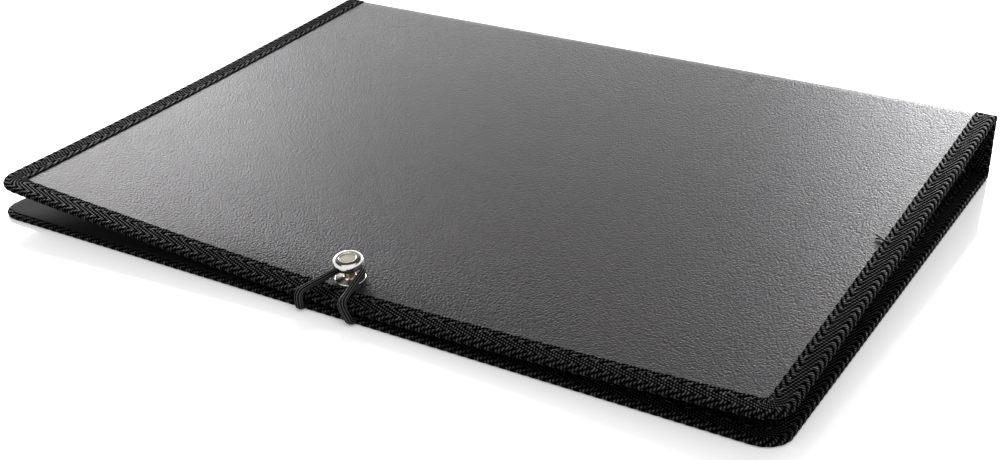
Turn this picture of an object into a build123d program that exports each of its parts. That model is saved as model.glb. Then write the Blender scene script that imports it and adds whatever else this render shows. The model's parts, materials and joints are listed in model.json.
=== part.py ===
import os
from math import asin, atan2, hypot, sqrt, tan

from build123d import *

# Choir folder, closed and lying on its back cover, in millimetres.
# X runs from the tail (-) to the head (+), Y from the fore-edge (-) to the spine (+), Z is up.
# The origin is at the middle of the folder's footprint, on the table.

# Folder sizes
length = 330.0  # tail to head
cover_width = 240.0  # fore-edge to the outside of the spine
spine_height = 28.0  # table to the outside of the sheet at the front crease
sheet = 1.2  # thickness of the moulded sheet
tape = 0.5  # thickness of the binding tape
tape_face = 9.0  # width of the tape that lies on each side of the sheet
corner_radius = 10.0  # outer corners at the fore-edge
window_radius = 2.0  # inner corners of the tape

# Shape of the closed front cover
fore_edge_height = 7.4  # table to the top of the front cover at the middle of the fore-edge
tail_lift = 7.5  # rise of the front cover's tail corner above the middle
head_lift = 4.8  # rise of its head corner
cover_bulge = 0.4  # rise of the cover above a straight line from crease to fore-edge

# Creases
crease_gap = 1.6  # from each crease line to the tape beside it
crease_clearance = 0.05  # between the round crease and the panels beside it

# Pockets
pocket_sheet = 0.4
pocket_length = 120.0  # tail edge to the open side
pocket_inset = 2.0  # from the binding's outer edge to the pocket's edge
pocket_spine_gap = 14.0  # from the crease line to the pocket's welded edge
weld_width = 4.0
weld_clearance = 0.2  # from the tape to the end of the welded strip

# Closure elastic
elastic_diameter = 2.6
elastic_clearance = 0.3  # from the cord to what it passes
tail_clearance = 0.1  # from the cord to the table
rim_bend = 2.2  # bend radius of the cord's middle over the fore-edge
anchor_bend = 1.4  # and where it turns into the binding
rim_tail_x = -12.8  # where the tail side strand crosses the fore-edge
rim_head_x = 5.5  # where the head side strand crosses it
anchor_tail_x = -12.4  # where each strand enters the back binding
anchor_head_x = 9.3
elastic_joint_height = 4.0  # height at which the loop bends forward when it is let go
tab_width = 3.2  # the cord's ends, pressed flat inside the binding
tab_thickness = 1.0
tab_depth = 6.0
tab_clearance = 0.05

# Stud
stud_x = -2.3
stud_setback = 15.5  # fore-edge to the stud's axis
stud_diameter = 11.2  # flange and cap
flange_height = 0.7
neck_diameter = 4.2
neck_height = 4.6
cap_height = 3.5
cap_rounding = 1.3
cap_recess_diameter = 6.2
cap_recess_depth = 0.35
spigot_diameter = 2.8
spigot_height = 2.0
spigot_clearance = 0.03
screw_diameter = 2.0
screw_head_diameter = 6.5
screw_head_height = 1.0
screw_slot_width = 0.9
screw_slot_depth = 0.5
screw_reach = 3.4  # how far the screw goes up into the stud
screw_clearance = 0.03
washer_diameter = 9.0
washer_thickness = 0.4
stud_seat = 0.05  # between the sheet and the metal on each side
stud_hole_clearance = 0.2

# Music cords along the spine
cord_count = 6
cord_diameter = 1.6
cord_height = 6.0  # inside of the spine to the cords
cord_clearance = 0.1
knot_diameter = 3.2
knot_clearance = 0.02

# Bars that hold the music cords
bar_setback = 10.0  # from the tape's inner edge to the upright of the bar
bar_wall = 1.6
bar_base = 12.0  # length of the foot along the spine
bar_top = 8.5  # height of the upright above the spine
bar_end_gap = 0.35  # from the ends of a bar to the covers
bar_corner = 0.6  # rounding of the bar's top edge
bar_end_margin = 2.2  # from the outer cord's centre to the end of the bar
rivet_diameter = 3.0
rivet_head_diameter = 5.6
rivet_head_height = 0.5
rivet_clearance = 0.05
rivet_spacing = 12.0

# Heights and places that follow
board = sheet + 2 * tape
elastic_radius = elastic_diameter / 2
strand_offset = elastic_clearance + elastic_radius
spine_y = (cover_width + elastic_clearance + elastic_diameter) / 2
fore_y = spine_y - cover_width
crease_y = spine_y - tape - sheet / 2
spine_inner_y = crease_y - sheet / 2
back_crease_z = tape + sheet / 2
front_crease_z = spine_height - sheet / 2
panel_end = sheet / 2 + crease_clearance
run = crease_y - fore_y
fore_edge_drop = front_crease_z - (fore_edge_height - tape - sheet / 2)
above_all = spine_height + 2 * cover_bulge + tail_lift


def middle_height(share, lift=0.0):
    """Height of the front cover's middle surface, a share of the way from crease to fore-edge."""
    straight = front_crease_z - fore_edge_drop * share
    return straight + 4 * cover_bulge * share * (1 - share) + lift * share**2


def curved_slab(low, high):
    """The bowed front cover between two offsets from its middle surface."""
    half = length / 2
    with BuildPart() as slab:
        for share in (0.0, 0.25, 0.5, 0.75, 1.0, 1.02):
            heights = [middle_height(share, lift) for lift in (tail_lift, 0.0, head_lift)]
            with BuildSketch(Plane.XZ.offset(share * run - crease_y)):
                with BuildLine():
                    for offset_z in (low, high):
                        points = [(x, z + offset_z) for x, z in zip((-half, 0, half), heights)]
                        if share == 0.0:
                            Line(points[0], points[2])
                        else:
                            ThreePointArc(*points)
                    for x, z in ((-half, heights[0]), (half, heights[2])):
                        Line((x, z + low), (x, z + high))
                make_face()
        loft()
    return slab.part


def cover_plan(inset, spine_side, radius, last_x=None):
    """Outline seen from above, with its fore-edge corners rounded, up to the head or to last_x."""
    left = inset - length / 2
    right = length / 2 - inset if last_x is None else last_x
    near = fore_y + inset
    with BuildSketch() as plan:
        with Locations(((left + right) / 2, (near + spine_side) / 2)):
            Rectangle(right - left, spine_side - near)
        corners = plan.vertices().group_by(Axis.Y)[0]
        if last_x is not None:
            corners = corners.sort_by(Axis.X)[:1]
        fillet(corners, radius)
    return plan.sketch


sheet_plan = cover_plan(tape, crease_y - panel_end, corner_radius - tape)
tape_plan = cover_plan(0.0, crease_y - crease_gap, corner_radius)
window_plan = cover_plan(tape_face, crease_y, window_radius)
pocket_end_x = pocket_length - length / 2
pocket_end_y = crease_y - pocket_spine_gap
pocket_plan = cover_plan(pocket_inset, pocket_end_y, corner_radius - pocket_inset, pocket_end_x)
weld_start_x = tape_face + weld_clearance - length / 2
anchors = (anchor_tail_x, anchor_head_x)

# The stud stands square to the front cover, whose slope is worked out at its axis.
stud_y = fore_y + stud_setback
stud_share = (crease_y - stud_y) / run
stud_lift = (head_lift + tail_lift) / 2 * (2 * stud_x / length) ** 2
stud_lift += (head_lift - tail_lift) * stud_x / length
bow_slope = 4 * (head_lift + tail_lift) * stud_x / length
slope_x = (bow_slope + head_lift - tail_lift) * stud_share**2 / length
slope_y = fore_edge_drop - 4 * cover_bulge * (1 - 2 * stud_share) - 2 * stud_lift * stud_share
slope_y /= run
stud_up = Vector(-slope_x, -slope_y, 1).normalized()
stud_foot = Vector(stud_x, stud_y, middle_height(stud_share, stud_lift)) + stud_up * (sheet / 2)
stud_plane = Plane(origin=stud_foot, x_dir=(1, 0, slope_x), z_dir=stud_up)
stud_section = Plane(origin=stud_foot, x_dir=stud_plane.x_dir, z_dir=stud_plane.y_dir * -1)
stud_axis = Axis(stud_foot, stud_up)


# Back cover: the flat panel that lies on the table, notched for the ends of the elastic
with BuildPart() as back_cover:
    with BuildSketch(Plane.XY.offset(tape)):
        add(sheet_plan)
    extrude(amount=sheet)
    for x in anchors:
        with BuildSketch(Plane.XY.offset(tape)):
            with Locations((x, fore_y)):
                Rectangle(tab_width + 2 * tab_clearance, 2 * (tab_depth + tab_clearance))
        extrude(amount=sheet, mode=Mode.SUBTRACT)
back_cover.part.label = "back_cover"

# Back binding: tape folded over three edges of the back cover, open at the spine
with BuildPart() as back_binding:
    with BuildSketch():
        add(tape_plan)
    extrude(amount=board)
    rim = back_binding.edges().filter_by(Axis.Z, reverse=True)
    rim = [edge for edge in rim if edge.center().Y < crease_y - crease_gap - 1e-3]
    fillet(rim, 2 * tape)
    with BuildSketch():
        add(window_plan)
    extrude(amount=board, mode=Mode.SUBTRACT)
    with BuildSketch(Plane.XY.offset(tape)):
        add(sheet_plan)
    extrude(amount=sheet, mode=Mode.SUBTRACT)
    for x in anchors:
        with BuildSketch(Plane.XY.offset(tape)):
            with Locations((x, fore_y)):
                Rectangle(tab_width + 2 * tab_clearance, 4 * tape)
        extrude(amount=sheet, mode=Mode.SUBTRACT)
back_binding.part.label = "back_binding"

# Back pocket: thin sheet on the tape, welded to the cover along its spine side
with BuildPart() as back_pocket:
    with BuildSketch(Plane.XY.offset(board)):
        add(pocket_plan)
    extrude(amount=pocket_sheet)
    with BuildSketch(Plane.XY.offset(board - tape)):
        with Locations(((weld_start_x + pocket_end_x) / 2, pocket_end_y - weld_width / 2)):
            Rectangle(pocket_end_x - weld_start_x, weld_width)
    extrude(amount=tape)
back_pocket.part.label = "back_pocket"

# Creases: the rounded folds of the sheet, on the two hinge lines
creases = {}
for name, height in (("back_crease", back_crease_z), ("front_crease", front_crease_z)):
    with BuildPart() as crease:
        with BuildSketch(Plane(origin=(tape - length / 2, crease_y, height), z_dir=(1, 0, 0))):
            Circle(sheet / 2)
        extrude(amount=length - 2 * tape)
    crease.part.label = name
    creases[name] = crease

# Spine panel, with holes for the rivets of the cord bars
cord_z = (back_crease_z + front_crease_z) / 2
bar_x = length / 2 - tape_face - bar_setback
rivet_x = bar_x - bar_wall - bar_base / 2
rivet_places = [
    (side * rivet_x, cord_z + end * rivet_spacing / 2) for side in (-1, 1) for end in (-1, 1)
]
spine_low = back_crease_z + panel_end
spine_high = front_crease_z - panel_end
spine_plane = Plane.XZ.offset(-spine_inner_y)
with BuildPart() as spine_panel:
    with BuildSketch(spine_plane):
        with Locations((0, (spine_low + spine_high) / 2)):
            Rectangle(length - 2 * tape, spine_high - spine_low)
    extrude(amount=-sheet)
    with BuildSketch(spine_plane):
        with Locations(*rivet_places):
            Circle(rivet_diameter / 2 + rivet_clearance)
    extrude(amount=-sheet, mode=Mode.SUBTRACT)
spine_panel.part.label = "spine_panel"

# Spine bindings: the same tape over the head and tail ends of the spine
spine_bindings = {}
for name, side in (("spine_head_binding", 1), ("spine_tail_binding", -1)):
    low = back_crease_z + crease_gap
    high = front_crease_z - crease_gap
    with BuildPart() as spine_binding:
        with BuildSketch(Plane.XY.offset(low)):
            with Locations((side * (length - tape_face) / 2, crease_y)):
                Rectangle(tape_face, board)
        extrude(amount=high - low)
        outer_edges = spine_binding.edges().filter_by(Axis.Z).group_by(Axis.X)
        fillet(outer_edges[-1 if side > 0 else 0], 2 * tape)
        with BuildSketch(Plane.XY.offset(low)):
            with Locations((side * ((length - tape_face) / 2 - tape), crease_y)):
                Rectangle(tape_face, sheet)
        extrude(amount=high - low, mode=Mode.SUBTRACT)
    spine_binding.part.label = name
    spine_bindings[name] = spine_binding

# Cord bars: an angle on the inside of the spine at each end, with a hole for each cord
cord_hole_radius = cord_diameter / 2 + cord_clearance
bar_half = (front_crease_z - back_crease_z - board) / 2 - bar_end_gap
cord_pitch = 2 * (bar_half - bar_end_margin) / (cord_count - 1)
cord_levels = [cord_z + (i - (cord_count - 1) / 2) * cord_pitch for i in range(cord_count)]
cord_y = spine_inner_y - cord_height
cord_bars = {}
for name, side in (("head_cord_bar", 1), ("tail_cord_bar", -1)):
    with BuildPart() as cord_bar:
        with BuildSketch(Plane.XY.offset(cord_z - bar_half)):
            with Locations((side * (bar_x - bar_wall / 2), spine_inner_y - bar_top / 2)):
                Rectangle(bar_wall, bar_top)
            with Locations((side * rivet_x, spine_inner_y - bar_wall / 2)):
                Rectangle(bar_base, bar_wall)
        extrude(amount=2 * bar_half)
        with BuildSketch(Plane.YZ.offset(side * bar_x)):
            with Locations(*[(cord_y, level) for level in cord_levels]):
                Circle(cord_hole_radius)
        extrude(amount=-side * bar_wall, mode=Mode.SUBTRACT)
        with BuildSketch(spine_plane):
            with Locations(*rivet_places):
                Circle(rivet_diameter / 2 + rivet_clearance)
        extrude(amount=bar_wall, mode=Mode.SUBTRACT)
        fillet(cord_bar.edges().filter_by(Axis.Y).group_by(Axis.X)[-1 if side > 0 else 0], bar_corner)
    cord_bar.part.label = name
    cord_bars[name] = cord_bar

# Rivets: flat heads outside, level with the tape, and round heads on the bars inside
with BuildPart() as cord_bar_rivets:
    outside = Plane.XZ.offset(-(spine_inner_y + sheet))
    with BuildSketch(outside):
        with Locations(*rivet_places):
            Circle(rivet_head_diameter / 2)
    extrude(amount=-rivet_head_height)
    with BuildSketch(outside):
        with Locations(*rivet_places):
            Circle(rivet_diameter / 2)
    extrude(amount=sheet + bar_wall)
    inside = Plane.XZ.offset(bar_wall - spine_inner_y)
    with BuildSketch(inside):
        with Locations(*rivet_places):
            Circle(rivet_head_diameter / 2)
    extrude(amount=rivet_head_height, taper=30)
cord_bar_rivets.part.label = "cord_bar_rivets"

# Music cords: straight elastic cords with a knot seated on the hole behind each bar
knot_x = bar_x + sqrt((knot_diameter / 2) ** 2 - cord_hole_radius**2) + knot_clearance
music_cords = {}
for i, level in enumerate(cord_levels):
    with BuildPart() as music_cord:
        with BuildSketch(Plane.XY.offset(level)):
            with Locations((0, cord_y)):
                Rectangle(2 * knot_x, cord_diameter)
            with Locations((-knot_x, cord_y), (knot_x, cord_y)):
                Circle(knot_diameter / 2)
            with Locations((0, cord_y - knot_diameter / 2)):
                Rectangle(length, knot_diameter, mode=Mode.SUBTRACT)
        revolve(axis=Axis((0, cord_y, level), (1, 0, 0)))
    name = f"music_cord_{i + 1}"
    music_cord.part.label = name
    music_cords[name] = music_cord

# Front cover: the bowed panel, with a hole for the stud's screw
sheet_slab = curved_slab(-sheet / 2, sheet / 2)
with BuildPart() as front_cover:
    with BuildSketch():
        add(sheet_plan)
    extrude(amount=above_all)
    add(sheet_slab, mode=Mode.INTERSECT)
    with BuildSketch(stud_plane):
        Circle(screw_diameter / 2 + stud_hole_clearance)
    extrude(amount=sheet, both=True, mode=Mode.SUBTRACT)
front_cover.part.label = "front_cover"

# Front binding: tape folded over three edges of the front cover
board_slab = curved_slab(-board / 2, board / 2)
with BuildPart() as front_binding:
    with BuildSketch():
        add(tape_plan)
    extrude(amount=above_all)
    add(board_slab, mode=Mode.INTERSECT)
    rim = front_binding.edges()
    rim = [edge for edge in rim if edge.length > 2 * board]
    rim = [edge for edge in rim if edge.center().Y < crease_y - 2 * crease_gap]
    fillet(rim, 2 * tape)
    with BuildSketch():
        add(window_plan)
    extrude(amount=above_all, mode=Mode.SUBTRACT)
    add(front_cover.part, mode=Mode.SUBTRACT)
front_binding.part.label = "front_binding"

# Front pocket: thin sheet under the tape, welded to the cover along its spine side
pocket_slab = curved_slab(-board / 2 - pocket_sheet, -board / 2)
weld_slab = curved_slab(-board / 2 - pocket_sheet, -sheet / 2)
with BuildPart() as front_pocket_weld:
    with BuildSketch():
        with Locations(((weld_start_x + pocket_end_x) / 2, pocket_end_y - weld_width / 2)):
            Rectangle(pocket_end_x - weld_start_x, weld_width)
    extrude(amount=above_all)
    add(weld_slab, mode=Mode.INTERSECT)
with BuildPart() as front_pocket:
    with BuildSketch():
        add(pocket_plan)
    extrude(amount=above_all)
    add(pocket_slab, mode=Mode.INTERSECT)
    add(front_pocket_weld.part)
front_pocket.part.label = "front_pocket"

# Stud base: flange and neck in one turned piece, with a spigot for the cap
neck_top = flange_height + neck_height
with BuildPart() as stud_base:
    with BuildSketch(stud_section):
        with BuildLine():
            Polyline(
                (0, stud_seat),
                (stud_diameter / 2, stud_seat),
                (stud_diameter / 2, flange_height / 2),
                (neck_diameter / 2 + flange_height / 2, flange_height),
                (neck_diameter / 2, flange_height),
                (neck_diameter / 2, neck_top),
                (spigot_diameter / 2, neck_top),
                (spigot_diameter / 2, neck_top + spigot_height),
                (0, neck_top + spigot_height),
                close=True,
            )
        make_face()
    revolve(axis=stud_axis)
    with BuildSketch(stud_plane):
        Circle(screw_diameter / 2 + screw_clearance)
    extrude(amount=screw_reach + 2 * stud_seat, mode=Mode.SUBTRACT)
stud_base.part.label = "stud_base"

# Stud cap: rounded head with a shallow round recess
cap_top = neck_top + cap_height
with BuildPart() as stud_cap:
    with BuildSketch(stud_plane.offset(neck_top)):
        Circle(stud_diameter / 2)
    extrude(amount=cap_height)
    fillet(stud_cap.edges().filter_by(GeomType.CIRCLE).group_by(Axis.Z)[-1], cap_rounding)
    fillet(stud_cap.edges().filter_by(GeomType.CIRCLE).group_by(Axis.Z)[0], cap_rounding / 2)
    with BuildSketch(stud_plane.offset(cap_top)):
        Circle(cap_recess_diameter / 2)
    extrude(amount=-cap_recess_depth, mode=Mode.SUBTRACT)
    with BuildSketch(stud_plane.offset(neck_top)):
        Circle(spigot_diameter / 2 + spigot_clearance)
    extrude(amount=spigot_height + spigot_clearance, mode=Mode.SUBTRACT)
stud_cap.part.label = "stud_cap"

# Washer and slotted screw on the inside of the front cover
inner_face = stud_plane.offset(-sheet - stud_seat)
with BuildPart() as stud_washer:
    with BuildSketch(inner_face):
        Circle(washer_diameter / 2)
        Circle(screw_diameter / 2 + stud_hole_clearance, mode=Mode.SUBTRACT)
    extrude(amount=-washer_thickness)
stud_washer.part.label = "stud_washer"

head_face = stud_plane.offset(-sheet - stud_seat - washer_thickness)
with BuildPart() as stud_screw:
    with BuildSketch(head_face):
        Circle(screw_head_diameter / 2)
    extrude(amount=-screw_head_height)
    with BuildSketch(head_face):
        Circle(screw_diameter / 2)
    extrude(amount=sheet + stud_seat + washer_thickness + screw_reach)
    with BuildSketch(head_face.offset(-screw_head_height)):
        Rectangle(screw_head_diameter, screw_slot_width)
    extrude(amount=screw_slot_depth, mode=Mode.SUBTRACT)
stud_screw.part.label = "stud_screw"

# Elastic loop: over the front cover's fore-edge and round the neck of the stud.
# Its arms lie in one plane, which slopes up from the rim to the middle of the neck.
strand_y = fore_y - strand_offset
ring_radius = neck_diameter / 2 + strand_offset
ring_centre = stud_foot + stud_up * (flange_height + neck_height / 2)
rim_z = fore_edge_height + strand_offset
tail_z = elastic_radius + tail_clearance
rise = (ring_centre.Z - rim_z) / (ring_centre.Y - strand_y)


strands = ((rim_tail_x, anchor_tail_x), (rim_head_x, anchor_head_x))


def on_strand(rim_x, anchor_x, height):
    """A point of a strand on its straight way down the fore-edge."""
    share = (rim_z - height) / (rim_z - tail_z)
    return (rim_x + (anchor_x - rim_x) * share, strand_y, height)


def on_arms(x, y):
    """A point of the plane that holds the loop's two arms."""
    return (x, y, rim_z + rise * (y - strand_y))


def behind_neck(rim_x):
    """Where an arm that passes close by the neck meets the line behind the neck."""
    width = abs(stud_x - rim_x)
    angle = atan2(arm_reach, width) + asin(ring_radius / hypot(arm_reach, width))
    across = (back_y - strand_y) / tan(angle)
    return rim_x + across if rim_x < stud_x else rim_x - across


arm_reach = ring_centre.Y - strand_y
back_y = ring_centre.Y + ring_radius
ring_bend = ring_radius * 0.97
loop_route = [
    on_strand(*strands[0], elastic_joint_height),
    on_arms(rim_tail_x, strand_y),
    on_arms(behind_neck(rim_tail_x), back_y),
    on_arms(behind_neck(rim_head_x), back_y),
    on_arms(rim_head_x, strand_y),
    on_strand(*strands[1], elastic_joint_height),
]
with BuildPart() as elastic_loop:
    with BuildLine() as loop_line:
        FilletPolyline(
            *loop_route,
            radius=[rim_bend, ring_bend, ring_bend, rim_bend],
        )
    loop_path = loop_line.wires()[0]
    with BuildSketch(Plane(origin=loop_path @ 0, z_dir=loop_path % 0)):
        Circle(elastic_radius)
    sweep(path=loop_path)
elastic_loop.part.label = "elastic_loop"
print("elastic loop, cord length", round(loop_path.length, 1))

# Elastic tails: down the fore-edge and into the back binding, where they end flat
with BuildPart() as elastic_tails:
    for rim_x, anchor_x in strands:
        with BuildLine() as tail_line:
            FilletPolyline(
                on_strand(rim_x, anchor_x, elastic_joint_height),
                (anchor_x, strand_y, tail_z),
                (anchor_x, fore_y - tab_clearance, tail_z),
                radius=[anchor_bend],
            )
        tail_path = tail_line.wires()[0]
        with BuildSketch(Plane(origin=tail_path @ 0, z_dir=tail_path % 0)):
            Circle(elastic_radius)
        sweep(path=tail_path)
        with BuildSketch(Plane.XY.offset(tape + (sheet - tab_thickness) / 2)):
            with Locations((anchor_x, fore_y - tab_clearance - tape + (tab_depth + tape) / 2)):
                Rectangle(tab_width, tab_depth + tape)
        extrude(amount=tab_thickness)
elastic_tails.part.label = "elastic_tails"

pieces = [back_cover, back_binding, back_pocket, *creases.values(), spine_panel]
pieces += [*spine_bindings.values(), *cord_bars.values(), cord_bar_rivets]
pieces += [*music_cords.values(), front_cover, front_binding, front_pocket]
pieces += [stud_base, stud_cap, stud_washer, stud_screw, elastic_loop, elastic_tails]

os.makedirs("parts", exist_ok=True)
for piece in pieces:
    export_step(piece.part, f"parts/{piece.part.label}.step")
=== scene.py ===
"""Choir folder, closed with its elastic: two sheet covers and a spine, bound with woven tape."""

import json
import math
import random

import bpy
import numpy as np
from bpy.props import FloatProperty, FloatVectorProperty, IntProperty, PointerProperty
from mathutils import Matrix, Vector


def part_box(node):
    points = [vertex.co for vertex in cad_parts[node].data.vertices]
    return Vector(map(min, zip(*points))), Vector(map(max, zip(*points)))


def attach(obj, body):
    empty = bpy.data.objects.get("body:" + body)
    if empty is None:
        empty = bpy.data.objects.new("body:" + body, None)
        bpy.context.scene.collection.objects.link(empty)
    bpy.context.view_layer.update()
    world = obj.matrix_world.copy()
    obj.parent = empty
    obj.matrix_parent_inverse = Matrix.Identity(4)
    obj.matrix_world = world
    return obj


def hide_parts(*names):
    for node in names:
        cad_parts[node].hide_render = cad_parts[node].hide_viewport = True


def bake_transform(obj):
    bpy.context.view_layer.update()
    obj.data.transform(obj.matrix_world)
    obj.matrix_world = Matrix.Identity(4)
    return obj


bl_info = {
    "name": "Choir folder",
    "version": (1, 0, 0),
    "blender": (4, 5, 0),
    "location": "View3D > Sidebar > Choir folder",
    "description": "Dresses the choir folder's frame and sets its stage",
    "category": "Object",
}

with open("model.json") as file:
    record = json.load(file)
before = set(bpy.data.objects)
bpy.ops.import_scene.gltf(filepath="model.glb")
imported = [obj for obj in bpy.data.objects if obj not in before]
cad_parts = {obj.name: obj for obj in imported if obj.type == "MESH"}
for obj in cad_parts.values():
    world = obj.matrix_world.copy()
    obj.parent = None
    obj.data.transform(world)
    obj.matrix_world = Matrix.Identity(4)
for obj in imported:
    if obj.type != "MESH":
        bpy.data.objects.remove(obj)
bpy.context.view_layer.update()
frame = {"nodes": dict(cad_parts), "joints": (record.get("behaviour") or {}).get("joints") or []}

mm = 0.001

# Places that the frame gives
hinges = {joint["name"]: Vector(joint["pos_m"]) for joint in frame["joints"]}
back_crease = hinges["back_crease_hinge"]
front_crease = hinges["front_crease_hinge"]
crease_y = front_crease.y
half_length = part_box("front_binding")[1].x
fore_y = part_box("back_binding")[0].y
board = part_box("back_binding")[1].z
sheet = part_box("back_cover")[1].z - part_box("back_cover")[0].z
tape = (board - sheet) / 2
tape_end_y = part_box("back_binding")[1].y
fold_leg = crease_y - tape_end_y
run = crease_y - fore_y


def length(millimetres, name, description):
    """A setting that is a length."""
    return FloatProperty(
        name=name, description=description, default=millimetres * mm, unit="LENGTH")


def angle(degrees, name, description):
    """A setting that is an angle."""
    return FloatProperty(
        name=name, description=description, default=math.radians(degrees), subtype="ANGLE")


def colour(default, name, description):
    """A setting that is a colour."""
    return FloatVectorProperty(
        name=name, description=description, default=default, subtype="COLOR")


class FolderShape(bpy.types.PropertyGroup):
    """Sizes of the folder's covers and fittings."""

    fore_edge_height: length(7.4, "Fore-edge height", "Table to the top of the front cover, mid fore-edge")
    tail_lift: length(7.5, "Tail lift", "Rise of the front cover's tail corner")
    head_lift: length(4.8, "Head lift", "Rise of the front cover's head corner")
    cover_bulge: length(0.4, "Cover bulge", "Rise of the cover above a straight line")
    corner_radius: length(10.0, "Corner radius", "Outer corners at the fore-edge")
    window_radius: length(2.0, "Window radius", "Inner corners of the tape")
    tape_face: length(9.0, "Tape face", "Width of the tape on each side of the sheet")
    stud_x: length(-2.3, "Stud place", "Middle of the fore-edge to the stud, towards the head")
    stud_setback: length(15.5, "Stud setback", "Fore-edge to the stud's axis")
    neck_height: length(4.6, "Neck height", "From the stud's flange to its cap")
    cap_height: length(3.5, "Cap height", "Height of the stud's cap")
    fore_edge_pull: length(1.5, "Fore-edge pull", "How far the elastic draws the fore-edge down")
    neck_radius: length(2.1, "Neck radius", "Neck of the stud")
    stud_radius: length(5.6, "Stud radius", "Flange and cap of the stud")
    elastic_radius: length(1.3, "Elastic radius", "Radius of the closure elastic")
    music_cord_radius: length(0.8, "Music cord radius", "Radius of the cords along the spine")


class FolderWeave(bpy.types.PropertyGroup):
    """Sizes of the tape's weave and of its sewing."""

    rib_pitch: length(3.9, "Rib pitch", "From rib to rib along the tape")
    rib_depth: length(0.2, "Rib depth", "Depth between two ribs")
    rib_slopes: FloatVectorProperty(
        name="Rib slopes", description="Run of a rib along the tape for its run across, by the margin, "
        "in the middle and by the rim", default=(-2.2, 3.3, -1.7))
    rib_turns: FloatVectorProperty(
        name="Rib turns", description="Tape's margin to the two lines where the ribs turn back",
        size=2, subtype="TRANSLATION", default=(2.6 * mm, 6.6 * mm))
    turn_softness: length(0.6, "Turn softness", "Roundness of a rib where it turns back")
    float_length: length(1.15, "Float length", "Length of yarn that shows between two crossings")
    step_along: length(0.8, "Step along", "Distance between the mesh's points along the tape")
    step_across: length(0.26, "Step across", "Distance between the mesh's points across the tape")
    stitch_pitch: length(6.6, "Stitch pitch", "From stitch to stitch")
    stitch_length: length(2.2, "Stitch length", "Length of thread that shows in a stitch")
    stitch_inset: length(2.0, "Stitch inset", "Tape's margin to the stitches")
    thread_radius: length(0.22, "Thread radius", "Radius of the sewing thread")
    seed: IntProperty(name="Seed", description="Seed of what varies from stitch to stitch", default=7)


class FolderColours(bpy.types.PropertyGroup):
    """Colours of the folder's finishes."""

    sheet: colour((0.015, 0.0135, 0.015), "Sheet", "Moulded sheet of the covers")
    pocket: colour((0.008, 0.008, 0.0085), "Pocket", "Thin sheet of the pockets")
    # The tape's yarn colour is painted highlight on its raised yarns; its gap colour is painted shade
    # between them.
    tape_yarn: colour((0.075, 0.069, 0.073), "Tape yarn", "Raised yarn of the tape")
    tape_gap: colour((0.0008, 0.0008, 0.0009), "Tape gap", "Between the yarns of the tape")
    thread: colour((0.02, 0.019, 0.02), "Thread", "Sewing thread")
    elastic: colour((0.016, 0.016, 0.017), "Elastic", "Closure elastic and music cords")
    bar: colour((0.018, 0.018, 0.019), "Cord bar", "Moulded cord bars")
    nickel: colour((0.86, 0.84, 0.80), "Nickel", "Polished cap and flange of the stud")
    disc: colour((0.62, 0.57, 0.48), "Disc", "Brushed disc in the stud's cap")
    neck: colour((0.78, 0.68, 0.48), "Neck", "Turned neck of the stud")
    steel: colour((0.55, 0.54, 0.52), "Steel", "Rivets, washer and screw")


class FolderStage(bpy.types.PropertyGroup):
    """Floor, light and camera."""

    floor: colour((0.97, 0.97, 0.97), "Floor", "Colour of the floor")
    floor_glow: FloatProperty(
        name="Floor glow", description="Added to the floor where the camera sees it", default=0.2)
    ambient: FloatProperty(
        name="Ambient", description="Light from all round", default=0.58)
    backdrop_top: angle(28, "Backdrop top", "Angle above the horizon up to which mirrors see white")
    ceiling_from: angle(46, "Ceiling from", "Angle above the horizon from which mirrors see the ceiling")
    ceiling: FloatProperty(
        name="Ceiling", description="How bright mirrors see the ceiling", default=0.06)
    camera_place: FloatVectorProperty(
        name="Camera place", description="Where the camera stands", subtype="TRANSLATION",
        default=(279.0 * mm, -472.0 * mm, 245.6 * mm))
    camera_pitch: angle(25.4, "Camera pitch", "Below the horizon")
    camera_yaw: angle(30.8, "Camera yaw", "From +Y towards -X")
    lens: FloatProperty(
        name="Lens", description="Focal length on a 36 mm sensor", default=52.84)


# Meshes

def new_piece(name, points, faces, material):
    """An object with one mesh, in the scene's collection."""
    mesh = bpy.data.meshes.new(name)
    mesh.from_pydata(np.asarray(points).tolist(), [], [[int(i) for i in face] for face in faces])
    mesh.materials.append(material)
    mesh.polygons.foreach_set("use_smooth", [True] * len(mesh.polygons))
    mesh.update()
    piece = bpy.data.objects.new(name, mesh)
    bpy.context.scene.collection.objects.link(piece)
    return piece


def lay_coordinates(piece, values):
    """A map with two coordinates in metres for each point, which the patterns are drawn by."""
    layer = piece.data.uv_layers.new(name="pattern")
    corners = np.empty(len(piece.data.loops), int)
    piece.data.loops.foreach_get("vertex_index", corners)
    layer.data.foreach_set("uv", np.asarray(values)[corners].astype(np.float32).ravel())


def grid_faces(rows, columns, wrap=False):
    """Quads over a grid of points that is stored row by row."""
    row = np.arange(rows - 1)[:, None]
    column = np.arange(columns if wrap else columns - 1)[None, :]
    here = row * columns + column
    beside = row * columns + (column + 1) % columns
    return np.stack([here, beside, beside + columns, here + columns], axis=-1).reshape(-1, 4)


def even_steps(low, high, step):
    """Evenly spaced values from low to high, about step apart."""
    return np.linspace(low, high, max(2, int(round(abs(high - low) / step)) + 1))


def edge_steps(low, high, step, edge):
    """Values from low to high, closer together at both ends, where the edge is rounded."""
    ends = edge * (1 - np.cos(np.linspace(0, math.pi / 2, 5)))[:-1]
    return np.concatenate([low + ends, even_steps(low + edge, high - edge, step), (high - ends)[::-1]])


def tube_faces(rows, columns):
    """Quads round a row of rings, and a face over each end."""
    last = (rows - 1) * columns
    faces = grid_faces(rows, columns, wrap=True).tolist()
    return [*faces, list(range(columns))[::-1], list(range(last, last + columns))]


def merged(parts):
    """Points and faces of several parts as one mesh."""
    points, faces, base = [], [], 0
    for part_points, part_faces in parts:
        points.append(np.asarray(part_points).reshape(-1, 3))
        faces += [[base + i for i in face] for face in part_faces]
        base += len(points[-1])
    return np.concatenate(points), faces


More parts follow.
